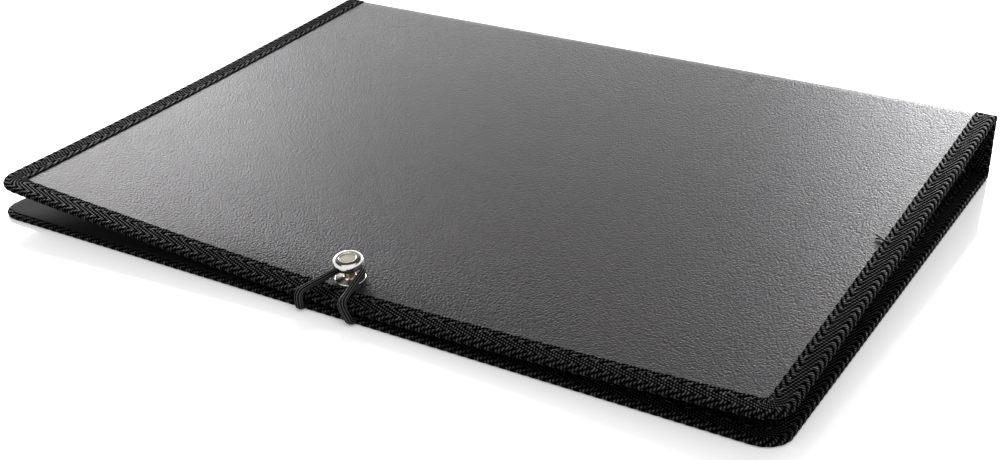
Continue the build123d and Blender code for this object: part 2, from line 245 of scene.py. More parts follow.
def unit(vectors):
    """The same vectors, with length 1."""
    return vectors / np.maximum(np.linalg.norm(vectors, axis=-1, keepdims=True), 1e-12)


def distances(line):
    """Distance along a line at each of its points."""
    return np.concatenate([[0], np.cumsum(np.linalg.norm(np.diff(line, axis=0), axis=1))])


def slab(name, across, along, place, thickness, material):
    """A sheet with rounded edges. place(a, b) gives the points of its middle and their normals."""
    a, b = np.meshgrid(across, along, indexing="ij")
    middle, normal = place(a, b)
    inset = np.minimum.reduce([a - across[0], across[-1] - a, b - along[0], along[-1] - b])
    rounding = thickness / 2
    fall = np.clip(1 - inset / rounding, 0, 1)
    offset = (np.sqrt(1 - fall**2) * rounding)[..., None] * normal
    rows, columns = a.shape
    top = np.arange(rows * columns).reshape(rows, columns)
    inner = np.zeros((rows, columns), bool)
    inner[1:-1, 1:-1] = True
    bottom = top.copy()
    bottom[inner] = rows * columns + np.arange(inner.sum())
    points = np.concatenate([(middle + offset).reshape(-1, 3), (middle - offset)[inner]])
    faces = grid_faces(rows, columns)
    under = bottom.ravel()[faces]
    return new_piece(name, points, np.concatenate([faces[:, ::-1], under]), material)


def turned(profile, foot, up, segments=72):
    """Points and faces turned about an axis. The profile holds (radius, height) pairs."""
    up = Vector(up).normalized()
    side = up.cross(Vector((0, 1, 0))).normalized()
    other = up.cross(side)
    turn = np.linspace(0, 2 * math.pi, segments, endpoint=False)
    ring = np.outer(np.cos(turn), side) + np.outer(np.sin(turn), other)
    points = [np.asarray(foot) + radius * ring + height * np.asarray(up) for radius, height in profile]
    return np.concatenate(points), tube_faces(len(profile), segments)


def finish_part(piece, foot, up, lowest, widest, material):
    """Gives a turned piece another finish above a height and within a radius."""
    piece.data.materials.append(material)
    reach = np.array([Vector(polygon.center) for polygon in piece.data.polygons]) - foot
    heights = reach @ up
    radii = np.linalg.norm(reach - heights[:, None] * up, axis=1)
    inside = (heights > lowest) & (radii < widest)
    index = np.empty(len(inside), np.int32)
    piece.data.polygons.foreach_get("material_index", index)
    index[inside] = len(piece.data.materials) - 1
    piece.data.polygons.foreach_set("material_index", index)


def arc(centre, radius, start, end, parts=6):
    """Points (radius, height) of an arc, with its angles in degrees."""
    angles = np.radians(np.linspace(start, end, parts + 1))
    return [(centre[0] + radius * math.cos(a), centre[1] + radius * math.sin(a)) for a in angles]


def smooth_line(route, spacing):
    """Points along the smooth curve that a route's points steer, about spacing apart."""
    data = bpy.data.curves.new("route", "CURVE")
    data.dimensions = "3D"
    data.resolution_u = 24
    spline = data.splines.new("NURBS")
    spline.points.add(len(route) - 1)
    for point, place in zip(spline.points, route):
        point.co = (*place, 1.0)
    spline.order_u = 3
    spline.use_endpoint_u = True
    carrier = bpy.data.objects.new("route", data)
    mesh = bpy.data.meshes.new_from_object(carrier)
    line = np.array([vertex.co for vertex in mesh.vertices], float)
    bpy.data.objects.remove(carrier)
    bpy.data.meshes.remove(mesh)
    bpy.data.curves.remove(data)
    reach = distances(line)
    at = even_steps(0, reach[-1], spacing)
    return np.stack([np.interp(at, reach, line[:, i]) for i in range(3)], axis=1)


def straight_line(low_x, high_x, y, z, spacing):
    """Points along X from low_x to high_x, about spacing apart."""
    at = even_steps(low_x, high_x, spacing)
    return np.stack([at, np.full(at.shape, y), np.full(at.shape, z)], axis=1)


def tube(line, radius_at, around):
    """Points, faces and map of a cord along a line. radius_at(distance, angle) gives its surface."""
    tangents = unit(np.gradient(line, axis=0))
    normal = unit(np.cross(tangents[0], (0.3, 0.2, 1.0)))
    normals = [normal]
    for tangent in tangents[1:]:
        normal = unit(normal - tangent * (normal @ tangent))
        normals.append(normal)
    normals = np.array(normals)
    others = np.cross(tangents, normals)
    reach = distances(line)
    turn = np.linspace(0, 2 * math.pi, around, endpoint=False)
    radius = radius_at(reach[:, None], turn[None, :])
    ring = normals[:, None] * np.cos(turn)[None, :, None] + others[:, None] * np.sin(turn)[None, :, None]
    points = line[:, None] + ring * radius[..., None]
    around_at = turn[None, :] * np.mean(radius)
    coordinates = np.stack(np.broadcast_arrays(reach[:, None], around_at), axis=-1).reshape(-1, 2)
    return points.reshape(-1, 3), tube_faces(len(line), around), coordinates


def round_end(reach, total, end):
    """1 along a cord, falling to nearly nothing in a round end."""
    near = np.clip(np.minimum(reach, total - reach) / end, 0, 1)
    return np.sqrt(np.clip(1 - (1 - near) ** 2, 0.02, 1))


# Covers

# How far in from the fore-edge, and along it, the elastic draws the cover down
pull_depth = 12 * mm
pull_width = 60 * mm

# Distance between the mesh's points on the sheets
sheet_step = 3 * mm


def middle_height(x, y):
    """Height of the front cover's middle surface over the table."""
    shape = bpy.context.scene.folder_shape
    share = (crease_y - y) / run
    drop = front_crease.z - (shape.fore_edge_height - board / 2)
    bow = (shape.tail_lift + shape.head_lift) / 2 * (x / half_length) ** 2
    lift = bow + (shape.head_lift - shape.tail_lift) / 2 * x / half_length
    bulge = 4 * shape.cover_bulge * share * (1 - share)
    away = ((y - fore_y) / pull_depth) ** 2 + ((x - shape.stud_x) / pull_width) ** 2
    pull = shape.fore_edge_pull * np.exp(-away)
    return front_crease.z - drop * share + bulge + lift * share**2 - pull


def cover_normal(x, y):
    """Normal of the front cover's middle surface."""
    step = 0.5 * mm
    slope_x = (middle_height(x + step, y) - middle_height(x - step, y)) / (2 * step)
    slope_y = (middle_height(x, y + step) - middle_height(x, y - step)) / (2 * step)
    return unit(np.stack(np.broadcast_arrays(-slope_x, -slope_y, np.ones_like(slope_x)), axis=-1))


def flat_height(x, y):
    """Height of the back cover's middle surface."""
    return np.full(np.broadcast(x, y).shape, back_crease.z)


def flat_normal(x, y):
    """Normal of the back cover."""
    return np.broadcast_to((0.0, 0.0, 1.0), (*np.broadcast(x, y).shape, 3))


covers = {
    "front": (middle_height, cover_normal, "front_cover"),
    "back": (flat_height, flat_normal, "back_cover"),
}


def make_cover_sheet(side):
    """A cover's sheet, with its corners rounded at the fore-edge."""
    shape = bpy.context.scene.folder_shape
    height, normal_at, body = covers[side]
    edge = sheet / 2
    half = half_length - tape
    near = fore_y + tape
    radius = shape.corner_radius - tape
    spine_side = crease_y + sheet / 4

    def place(x, share):
        past = np.clip(np.abs(x) - (half - radius), 0, radius)
        low = near + radius - np.sqrt(radius**2 - past**2)
        y = low + (share - near) * (spine_side - low) / (spine_side - near)
        return np.stack([x, y, height(x, y)], axis=-1), normal_at(x, y)

    across = edge_steps(-half, half, sheet_step, edge)
    along = edge_steps(near, spine_side, sheet_step, edge)
    piece = slab(f"{side}_cover_sheet", across, along, place, sheet, sheet_finish())
    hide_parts(f"{side}_cover")
    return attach(piece, body)


def make_spine_sheet():
    """The spine's sheet, which stands between the two creases."""
    low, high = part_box("spine_panel")
    middle_y = (low.y + high.y) / 2

    def place(x, z):
        normal = np.broadcast_to((0.0, -1.0, 0.0), (*x.shape, 3))
        return np.stack([x, np.full(x.shape, middle_y), z], axis=-1), normal

    across = edge_steps(low.x, high.x, sheet_step, sheet / 2)
    along = edge_steps(low.z, high.z, 2 * mm, sheet / 2)
    piece = slab("spine_sheet", across, along, place, sheet, sheet_finish())
    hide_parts("spine_panel")
    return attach(piece, "spine")


def make_crease(side):
    """A rounded fold of the sheet, with fine lines pressed along it."""
    centre = front_crease if side == "front" else back_crease
    half = half_length - tape
    line = straight_line(-half, half, centre.y, centre.z, 2 * mm)
    lines, depth = 14, 0.012 * mm

    def radius_at(reach, turn):
        return (sheet / 2 + depth * np.cos(lines * turn)) * round_end(reach, 2 * half, sheet / 2)

    points, faces, _ = tube(line, radius_at, 84)
    piece = new_piece(f"{side}_crease_fold", points, faces, sheet_finish())
    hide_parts(f"{side}_crease")
    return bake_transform(piece)


# Binding tape

def rib_run(across, width):
    """How far along the tape a rib has run, at a distance across it. It turns back at two lines."""
    weave = bpy.context.scene.folder_weave
    margin = np.minimum(across, width - across)
    first, middle, last = weave.rib_slopes
    run_along = (first + last) / 2 * margin
    for change, line in zip((middle - first, last - middle), weave.rib_turns):
        run_along = run_along + change / 2 * np.sqrt((margin - line) ** 2 + weave.turn_softness**2)
    return run_along


def relief(along, across, width):
    """Depth of the tape's surface below its ribs, with its woven edges and its row of stitches."""
    weave = bpy.context.scene.folder_weave
    selvage_width, selvage_fade, stitch_reach = 0.7 * mm, 0.3 * mm, 0.6 * mm
    pulled, pulled_more = 0.04 * mm, 0.16 * mm
    phase = (along - rib_run(across, width)) / weave.rib_pitch
    ribs = (0.5 + 0.5 * np.cos(2 * math.pi * phase)) ** 0.8
    margin = np.minimum(across, width - across)
    edge_rib = 0.5 + 0.5 * np.cos(2 * math.pi * along / (0.25 * weave.rib_pitch))
    inner = np.clip((margin - selvage_width) / selvage_fade, 0, 1)
    depth = (1 - (ribs * inner + (0.6 + 0.4 * edge_rib) * (1 - inner))) * weave.rib_depth
    near_stitch = np.exp(-(((margin - weave.stitch_inset) / stitch_reach) ** 2))
    hole = 0.5 + 0.5 * np.cos(2 * math.pi * along / weave.stitch_pitch)
    return depth + near_stitch * (pulled + pulled_more * hole**3)


def tape_profile(face):
    """Outside of a folded tape: distance from the rim, height, normal and distance across."""
    weave = bpy.context.scene.folder_weave
    half = board / 2
    bend = 2 * tape
    steps = int(round((face - bend) / weave.step_across))
    points = [(x, half, 0.0, 1.0) for x in np.linspace(face, bend, steps, endpoint=False)]
    for angle in np.linspace(0, math.pi / 2, 5, endpoint=False):
        out, up = math.sin(angle), math.cos(angle)
        points.append((bend - bend * out, half - bend + bend * up, out, up))
    points.append((0.0, half - bend, 1.0, 0.0))
    points += [(inset, -height, out, -up) for inset, height, out, up in reversed(points)]
    points = np.array(points)
    distance = np.concatenate([[0], np.cumsum(np.hypot(*np.diff(points[:, :2], axis=0).T))])
    return points, distance


def tape_strip(name, places, outward, normal, along, face, material):
    """A tape folded over an edge. places(inset, height) gives the points of each section."""
    profile, across = tape_profile(face)
    width = across[-1]
    depth = relief(along[:, None], across[None, :], width)
    pitch = bpy.context.scene.folder_weave.stitch_pitch
    gather_depth, gather_reach = 0.14 * mm, 1.5 * mm
    gather = gather_depth * np.cos(2 * math.pi * along / pitch)[:, None]
    margin = np.minimum(across, width - across)[None, :]
    inset = profile[None, :, 0] + gather * np.clip(1 - margin / gather_reach, 0, 1)
    outside = places(inset, np.broadcast_to(profile[None, :, 1], inset.shape))
    push = outward[:, None] * profile[None, :, 2, None] + normal[:, None] * profile[None, :, 3, None]
    outside = outside - push * depth[..., None]
    gap = 0.02 * mm
    lining = [(face, -sheet / 2 - gap), (1.4 * tape, -sheet / 2 - gap), (1.1 * tape, 0.0)]
    lining += [(inset_at, -height) for inset_at, height in lining[1::-1]]
    lining = np.array(lining)
    shape = (len(along), len(lining))
    inside = places(np.broadcast_to(lining[:, 0], shape), np.broadcast_to(lining[:, 1], shape))
    points = np.concatenate([outside, inside], axis=1)
    faces = tube_faces(*points.shape[:2])
    lining_across = np.interp(lining[:, 0], [0, face], [width / 2, 0])
    all_across = np.concatenate([across, lining_across])
    coordinates = np.stack(np.broadcast_arrays(along[:, None], all_across[None, :]), axis=-1)
    piece = new_piece(name, points.reshape(-1, 3), faces, material)
    lay_coordinates(piece, coordinates.reshape(-1, 2))
    return piece


def corner_path(radius, inset, reach, shares):
    """Points from one side to the next round a corner, as distances from the two sides."""
    straight = reach - inset - radius
    total = 2 * straight + radius * math.pi / 2
    points = []
    for share in shares:
        gone = share * total
        if gone < straight:
            points.append((inset, reach - gone))
        elif gone > total - straight:
            points.append((reach - (total - gone), inset))
        else:
            turn = (gone - straight) / radius
            points.append((inset + radius * (1 - math.sin(math.pi / 2 - turn)),
                           inset + radius * (1 - math.sin(turn))))
    return points


def rim_route():
    """A cover's rim and the tape's inner margin beside it, from above, and the distance along."""
    shape = bpy.context.scene.folder_shape
    step = bpy.context.scene.folder_weave.step_along
    radius, face, small = shape.corner_radius, shape.tape_face, shape.window_radius
    reach = max(radius, face + small)
    side = even_steps(tape_end_y, fore_y + reach, step)
    front = even_steps(reach - half_length, 0.0, step)
    finer = 1.3
    shares = np.linspace(0, 1, int(radius * math.pi / 2 / step * finer) + 1)[1:-1]
    routes = []
    for inset, bend in ((0.0, radius), (face, small)):
        route = [(inset - half_length, y) for y in side]
        route += [(x - half_length, y + fore_y) for x, y in corner_path(bend, inset, reach, shares)]
        route += [(x, fore_y + inset) for x in front]
        route += [(-x, y) for x, y in reversed(route[:-1])]
        routes.append(np.array(route))
    outer, inner = routes
    return outer, inner, distances(outer)


def make_cover_tape(side):
    """The tape over three edges of a cover."""
    face = bpy.context.scene.folder_shape.tape_face
    height, normal_at, body = covers[side]
    outer, inner, along = rim_route()
    inward = (inner - outer) / face

    def places(inset, rise):
        plan = outer[:, None] + inward[:, None] * inset[..., None]
        x, y = plan[..., 0], plan[..., 1]
        return np.stack([x, y, height(x, y) + rise], axis=-1)

    outward = np.concatenate([-unit(inward), np.zeros((len(outer), 1))], axis=1)
    normal = normal_at(outer[:, 0], outer[:, 1])
    piece = tape_strip(f"{side}_tape", places, outward, normal, along, face, tape_finish())
    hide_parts(f"{side}_binding")
    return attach(piece, body)


def make_spine_tape(side, end):
    """The tape over one end of the spine."""
    shape = bpy.context.scene.folder_shape
    low, high = back_crease.z + fold_leg, front_crease.z - fold_leg
    heights = even_steps(low, high, bpy.context.scene.folder_weave.step_along / 2)

    def places(inset, rise):
        z = np.broadcast_to(heights[:, None], inset.shape)
        return np.stack([end * (half_length - inset), crease_y + rise, z], axis=-1)

    outward = np.broadcast_to((float(end), 0.0, 0.0), (len(heights), 3))
    normal = np.broadcast_to((0.0, 1.0, 0.0), (len(heights), 3))
    piece = tape_strip(
        f"spine_{side}_tape", places, outward, normal, heights - low, shape.tape_face, tape_finish())
    if end > 0:
        piece.data.flip_normals()
    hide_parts(f"spine_{side}_binding")
    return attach(piece, "spine")


def fold_places(centre, into, first_out, leave, second_out, share, offset):
    """Points of a fold: a leg into the crease, a turn about it and a leg away from it."""
    turn = math.acos(max(-1.0, min(1.0, float(np.dot(into, leave)))))
    outside = np.maximum(offset, 0)
    inside = np.maximum(-offset, 0) * math.tan(turn / 2)
    leg = fold_leg - inside
    bend = outside * turn
    reach = share * (2 * leg + bend)
    first = np.clip(reach, 0, leg)
    middle = np.clip(reach - leg, 0, bend)
    last = np.clip(reach - leg - bend, 0, leg)
    angle = np.where(outside > 0, middle / np.maximum(outside, 1e-9), 0)
    before = reach < leg
    after = reach > leg + bend
    start = into * (first - leg - inside)[..., None] + first_out * offset[..., None]
    turned_point = outside[..., None] * (
        first_out * np.cos(angle)[..., None] + into * np.sin(angle)[..., None])
    finish = leave * (last + inside)[..., None] + second_out * offset[..., None]
    chosen = np.where(before[..., None], start, np.where(after[..., None], finish, turned_point))
    return centre + chosen


def make_tape_fold(side, part, end):
    """The tape's bend over a crease, between the spine's tape and a cover's."""
    shape = bpy.context.scene.folder_shape
    slope = float((middle_height(0, crease_y) - middle_height(0, crease_y - mm)) / mm)
    if side == "front":
        centre = np.array(front_crease)
        into, first_out = np.array((0, 0, 1.0)), np.array((0, 1.0, 0))
        leave, second_out = unit(np.array((0, -1.0, -slope))), unit(np.array((0, -slope, 1.0)))
    else:
        centre = np.array(back_crease)
        into, first_out = np.array((0, 1.0, 0)), np.array((0, 0, -1.0))
        leave, second_out = np.array((0, 0, 1.0)), np.array((0, 1.0, 0))
    share = np.linspace(0, 1, 27)

    def places(inset, rise):
        shares = np.broadcast_to(share[:, None], inset.shape)
        points = fold_places(centre, into, first_out, leave, second_out, shares, rise)
        points[..., 0] = end * (half_length - inset)
        return points

    outward = np.broadcast_to((float(end), 0.0, 0.0), (len(share), 3))
    normal = unit(first_out * (1 - share)[:, None] + second_out * share[:, None])
    along = share * (2 * fold_leg + board / 2 * math.pi / 2)
    piece = tape_strip(
        f"{side}_{part}_tape_fold", places, outward, normal, along, shape.tape_face, tape_finish())
    if end > 0:
        piece.data.flip_normals()
    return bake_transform(piece)


def make_stitches(side):
    """Stitches along the tape's inner margin, on both faces of a cover."""
    weave = bpy.context.scene.folder_weave
    chance = random.Random(weave.seed)
    height, normal_at, body = covers[side]
    outer, inner, _ = rim_route()
    line = inner + unit(outer - inner) * weave.stitch_inset
    reach = distances(line)
    places = np.arange(weave.stitch_pitch / 2, reach[-1] - weave.stitch_length, weave.stitch_pitch)
    turn = np.linspace(0, 2 * math.pi, 8, endpoint=False)
    stations = np.linspace(-1, 1, 7)
    sink, dip = 0.02 * mm, 0.16 * mm
    wide, high = 1.15, 0.85
    stitches = []
    for at in places:
        half = weave.stitch_length / 2 * chance.uniform(0.93, 1.04)
        ends = [np.array([np.interp(at + s * half, reach, line[:, i]) for i in (0, 1)]) for s in (-1, 1)]
        middle = (ends[0] + ends[1]) / 2
        direction = unit(np.append(ends[1] - ends[0], height(*ends[1]) - height(*ends[0])))
        normal = normal_at(middle[0], middle[1])
        sideways = np.cross(direction, normal)
        skew = chance.uniform(-0.05, 0.05)
        ring = wide * np.outer(np.cos(turn), sideways) + high * np.outer(np.sin(turn), normal)
        for face in (1, -1):
            centre = np.append(middle, height(*middle) + face * (board / 2 - sink))
            rings = []
            for station in stations:
                swell = max(0.12, math.sqrt(max(0.0, 1 - abs(station) ** 3)))
                way = (direction + sideways * skew) * station * half
                depth = np.array((0, 0, -face * dip * abs(station) ** 3))
                rings.append(centre + way + depth + ring * weave.thread_radius * swell)
            faces = [quad[::-1] for quad in tube_faces(len(stations), len(turn))]
            stitches.append((np.concatenate(rings), faces))
    piece = new_piece(f"{side}_tape_stitches", *merged(stitches), thread_finish())
    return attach(piece, body)


# Pockets

def make_pocket(side):
    """A thin pocket sheet on the inside of a cover, with a welded strip by the spine."""
    shape = bpy.context.scene.folder_shape
    height, normal_at, body = covers[side]
    low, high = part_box(f"{side}_pocket")
    thin = 0.4 * mm
    face = 1 if side == "back" else -1
    radius = shape.corner_radius - 2 * mm
    edge = thin / 2
    weld_half, dot_pitch, dot_height = 2 * mm, 1.6 * mm, 0.05 * mm

    def place(x, share):
        past = np.clip((low.x + radius) - x, 0, radius)
        near = low.y + radius - np.sqrt(radius**2 - past**2)
        y = near + (share - low.y) * (high.y - near) / (high.y - low.y)
        weld = np.clip(1 - np.abs(y - (high.y - weld_half)) / weld_half, 0, 1)
        dots = np.cos(2 * math.pi * x / dot_pitch) * np.cos(2 * math.pi * y / dot_pitch)
        seam = np.where(weld > 0, dot_height * dots * np.minimum(1, 3 * weld), 0)
        rise = face * (board / 2 + thin / 2) + seam
        return np.stack([x, y, height(x, y) + rise], axis=-1), normal_at(x, y)

    across = edge_steps(low.x, high.x, 0.8 * mm, edge)
    strip_y = high.y - 5 * mm
    plain = even_steps(low.y + edge, strip_y, 4 * mm)[:-1]
    strip = even_steps(strip_y, high.y - edge, 0.4 * mm)
    ends = edge * (1 - np.cos(np.linspace(0, math.pi / 2, 5)))[:-1]
    along = np.concatenate([low.y + ends, plain, strip, (high.y - ends)[::-1]])
    piece = slab(f"{side}_pocket_sheet", across, along, place, thin, pocket_finish())
    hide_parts(f"{side}_pocket")
    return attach(piece, body)


# Stud

# Radius of a turned piece's first and last ring, and the height of the stud's flange
on_axis = 1e-6
flange = 0.7 * mm


def stud_frame():
    """Foot of the stud on the front cover's outer face, and its direction."""
    shape = bpy.context.scene.folder_shape
    x, y = shape.stud_x, fore_y + shape.stud_setback
    up = cover_normal(np.array(x), np.array(y))
    foot = np.array((x, y, float(middle_height(x, y)))) + up * sheet / 2
    return foot, up


def neck_profile(neck, low, high):
    """Outline of the stud's neck, with rings turned into it."""
    rings, points_each = 5, 8
    groove, depth = 0.08 * mm, 0.10 * mm
    profile = []
    for share in np.linspace(0, 1, rings * points_each + 1):
        swell = depth * abs(math.sin(math.pi * rings * share)) ** 0.6
        profile.append((neck - groove + swell, low + share * (high - low)))
    return profile


def make_stud_base():
    """The stud's flange and its turned neck."""
    shape = bpy.context.scene.folder_shape
    foot, up = stud_frame()
    neck, wide = shape.neck_radius, shape.stud_radius
    low, edge = 0.05 * mm, 0.25 * mm
    cap_low = flange + shape.neck_height
    profile = [(on_axis, low), (wide - 0.2 * mm, low)]
    profile += arc((wide - edge, low + edge), edge, -90, 90)
    profile += [(neck + 1.3 * mm, 0.58 * mm), (neck + 1.1 * mm, flange)]
    profile += [(neck + 0.35 * mm, flange), (neck, flange + 0.3 * mm)]
    profile += neck_profile(neck, flange + 0.35 * mm, cap_low - 0.1 * mm)
    profile += [(neck, cap_low + 0.2 * mm), (on_axis, cap_low + 0.2 * mm)]
    base = new_piece("stud_neck_and_flange", *turned(profile, foot, up), metal_finish("polished_nickel"))
    # The flange's face under the cap takes nickel at a small share: painted shade cast by the cap.
    finish_part(base, foot, up, flange - edge, wide - 0.3 * mm, metal_finish("dull_nickel"))
    finish_part(base, foot, up, flange - 0.05 * mm, neck + 0.4 * mm, metal_finish("turned_neck"))
    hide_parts("stud_base")
    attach(base, "front_cover")


def make_stud_cap():
    """The stud's rounded cap, with a brushed disc let into it."""
    shape = bpy.context.scene.folder_shape
    foot, up = stud_frame()
    wide = shape.stud_radius
    cap_low = flange + shape.neck_height
    cap_high = cap_low + shape.cap_height
    under, shoulder, lip = 0.8 * mm, 1.6 * mm, 0.18 * mm
    disc, deep, bow = 3.1 * mm, 0.35 * mm, 0.03 * mm
    profile = [(on_axis, cap_low), (wide - under, cap_low)]
    profile += arc((wide - under, cap_low + under), under, -90, 0)
    profile += arc((wide - shoulder, cap_high - shoulder), shoulder, 0, 86, 14)
    profile += [(disc + 0.5 * mm, cap_high)]
    profile += arc((disc + lip, cap_high - 0.16 * mm), lip, 90, 180, 5)
    profile += [(disc, cap_high - 0.30 * mm), (disc - 0.15 * mm, cap_high - 0.36 * mm)]
    profile += [(disc - deep, cap_high - deep)]
    for radius in (2.4 * mm, 1.6 * mm, 0.8 * mm):
        profile.append((radius, cap_high - deep + bow * (1 - (radius / (2.9 * mm)) ** 2)))
    profile += [(on_axis, cap_high - deep + bow)]
    cap = new_piece("stud_cap_rounded", *turned(profile, foot, up, 96), metal_finish("polished_nickel"))
    finish_part(cap, foot, up, cap_high - 0.5 * mm, disc - 0.15 * mm, metal_finish("brushed_disc"))
    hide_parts("stud_cap")
    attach(cap, "front_cover")


def dress(node, material):
    """Gives a finish to a piece of the frame that stays as it is."""
    piece = frame["nodes"][node]
    for place in piece.material_slots:
        place.material = material


# Closure elastic

elastic_ribs = 9

# Along X: where each strand crosses the rim of the cover, and where it enters the back binding
strands = {"tail": (-12.8 * mm, -12.4 * mm), "head": (5.5 * mm, 9.3 * mm)}


def elastic_route():
    """Points that steer the elastic: out of the back binding, up and round the stud's neck."""
    shape = bpy.context.scene.folder_shape
    foot, up = stud_frame()
    clear = 0.1 * mm
    strand_y = fore_y - clear - shape.elastic_radius
    rim_z = float(middle_height(shape.stud_x, fore_y)) + board / 2 + clear + shape.elastic_radius
    low_z = shape.elastic_radius + clear
    ring = shape.neck_radius + 0.8 * mm + shape.elastic_radius
    centre = foot + up * (0.5 * mm + shape.neck_height / 2) + np.array((0.5 * mm, 0, 0))
    reach = centre[1] - strand_y
    rise = (centre[2] - rim_z) / reach
    bend, side_points = 4.8 * mm, 3

    def on_strand(end, z):
        """A place on the upright part of a strand, before the fore-edge."""
        rim_x, anchor_x = strands[end]
        share = (rim_z - z) / (rim_z - low_z)
        return (rim_x + (anchor_x - rim_x) * share, strand_y, z)

    def on_arms(place):
        """A place on the slope from the rim to the stud's neck."""
        x, y = place
        return (x, y, rim_z + rise * (y - strand_y))

    def on_ring(radius, angle):
        return np.array((centre[0] + radius * math.cos(angle), centre[1] + radius * math.sin(angle)))

    def from_binding(end):
        anchor_x = strands[end][1]
        inside = (anchor_x, fore_y + 2 * mm, back_crease.z)
        turn = (anchor_x, strand_y, low_z)
        return [inside, turn, on_strand(end, low_z + 1.6 * mm), on_strand(end, rim_z - bend)]

    def arm(end):
        """Direction of an arm, and the angle round the neck at which it leaves the ring."""
        across = centre[0] - strands[end][0]
        angle = math.atan2(reach, abs(across)) + math.asin(ring / math.hypot(reach, across))
        way = np.array((math.copysign(math.cos(angle), across), math.sin(angle)))
        touch = math.pi / 2 + angle if across > 0 else math.pi / 2 - angle
        return way, touch

    tail_way, first = arm("tail")
    head_way, last = arm("head")
    step = (first - last) / side_points
    corner = ring / math.cos(step / 2)
    tangent = ring * math.tan(step / 2)
    tail, head = (np.array((strands[end][0], strand_y)) for end in ("tail", "head"))
    plan = [tail, tail + bend * tail_way, on_ring(ring, first) - tangent * tail_way]
    plan += [on_ring(corner, first - step * (i + 0.5)) for i in range(side_points)]
    plan += [on_ring(ring, last) - tangent * head_way, head + bend * head_way, head]
    return [*from_binding("tail"), *map(on_arms, plan), *reversed(from_binding("head"))]


def make_elastic():
    """The closure elastic: one ribbed cord."""
    radius = bpy.context.scene.folder_shape.elastic_radius
    line = smooth_line(elastic_route(), 0.25 * mm)
    rib_share, pick_pitch, pick_depth = 0.16, 1.2 * mm, 0.02 * mm
    around, flattening = 72, 0.32

    def radius_at(reach, turn):
        ribs = np.abs(np.cos(elastic_ribs / 2 * turn)) ** 0.7
        picks = 0.5 + 0.5 * np.cos(2 * math.pi * reach / pick_pitch)
        return radius * (1 - rib_share + rib_share * ribs) - pick_depth * picks

    points, faces, coordinates = tube(line, radius_at, around)
    centres = np.repeat(line, around, axis=0)
    pressed = np.clip((fore_y + 3 * mm - centres[:, 1]) / (4 * mm), 0, 1)
    points[:, 0] += flattening * pressed * (points[:, 0] - centres[:, 0])
    piece = new_piece("closure_elastic", points, faces, elastic_finish())
    lay_coordinates(piece, coordinates)
    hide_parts("elastic_loop", "elastic_tails")
    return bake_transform(piece)


# Spine fittings

def make_music_cord(number):
    """One music cord with a knot behind each bar."""
    radius = bpy.context.scene.folder_shape.music_cord_radius
    low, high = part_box(f"music_cord_{number}")
    middle = (low + high) / 2
    knot = (high.z - low.z) / 2
    knot_x = high.x - knot
    core, thick = 0.62 * knot, 0.36 * knot
    plait_pitch = 3.2 * mm

    def braid(reach, turn):
        twist = 2 * math.pi * reach / plait_pitch
        return radius * (0.93 + 0.05 * np.cos(4 * turn + twist) * np.cos(4 * turn - twist))

    def knot_strand(reach, turn):
        return np.full(np.broadcast(reach, turn).shape, thick)

    parts = [tube(straight_line(-knot_x, knot_x, middle.y, middle.z, 0.5 * mm), braid, 16)]
    turn = np.linspace(0, 2 * math.pi, 90)
    out = 0.75 * core * (1 + 0.25 * np.cos(3 * turn))
    for end in (1, -1):
        loop = np.stack([
            end * (knot_x + 0.2 * core * np.sin(3 * turn)),
            middle.y + out * np.cos(2 * turn), middle.z + out * np.sin(2 * turn)], axis=1)
        parts.append(tube(loop, knot_strand, 14))
    points, faces = merged([part[:2] for part in parts])
    piece = new_piece(f"music_cord_{number}_braided", points, faces, music_cord_finish())
    lay_coordinates(piece, np.concatenate([part[2] for part in parts]))
    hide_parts(f"music_cord_{number}")
    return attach(piece, "spine")


def make_rivets():
    """Rivets with domed heads outside and rolled heads on the cord bars inside."""
    low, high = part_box("cord_bar_rivets")
    head, shank, head_height = 2.8 * mm, 1.5 * mm, 0.5 * mm
    edge, bevel = 0.25 * mm, 0.15 * mm
    outside_y = high.y - head_height
    rolled = low.y - outside_y
    seat = rolled + head_height
    profile = [(on_axis, rolled), (0.7 * mm, rolled + 0.05 * mm), (1.3 * mm, rolled)]
    profile += [(2.2 * mm, rolled + bevel), (head - 0.2 * mm, seat - bevel), (head - edge, seat)]
    profile += [(shank, seat), (shank, 0.0), (head, 0.0)]
    profile += arc((head - edge, 0.20 * mm), edge, 0, 80)
    profile += [(1.6 * mm, 0.49 * mm), (on_axis, head_height)]
    middle_z = (low.z + high.z) / 2
    spread = (high.z - low.z) / 2 - head
    places = [(x, outside_y, z) for x in (low.x + head, high.x - head)
              for z in (middle_z - spread, middle_z + spread)]
    rivets = merged([turned(profile, place, (0, 1, 0.0001), 40) for place in places])
    piece = new_piece("cord_bar_rivet_set", *rivets, metal_finish("plated_steel"))
    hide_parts("cord_bar_rivets")
    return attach(piece, "spine")


def make_loose_threads():
    """Two ends of sewing thread that stand out of the head tape onto the front cover."""
    root = np.array((half_length - 7.6 * mm, -0.9 * mm))
    thick, twist_depth, twist_pitch = 0.32 * mm, 0.16, 1.1 * mm

    def twist(reach, turn):
        return thick * (1 + twist_depth * np.cos(2 * turn + 2 * math.pi * reach / twist_pitch))

    threads = []
    for tip, middle in (((-4.8, 2.8), (-2.0, 1.0)), ((-4.0, 0.3), (-2.0, 0.8))):
        route = []
        for i, way in enumerate(((1.0, 0.3), (0.0, 0.0), middle, tip)):
            place = root + np.array(way) * mm
            rise = sheet / 2 + (0.45 + 0.12 * i) * mm
            route.append((*place, float(middle_height(*place)) + rise))
        threads.append(tube(smooth_line(route, 0.15 * mm), twist, 12)[:2])
    piece = new_piece("loose_thread_ends", *merged(threads), thread_finish())
    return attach(piece, "front_cover")


# Finishes

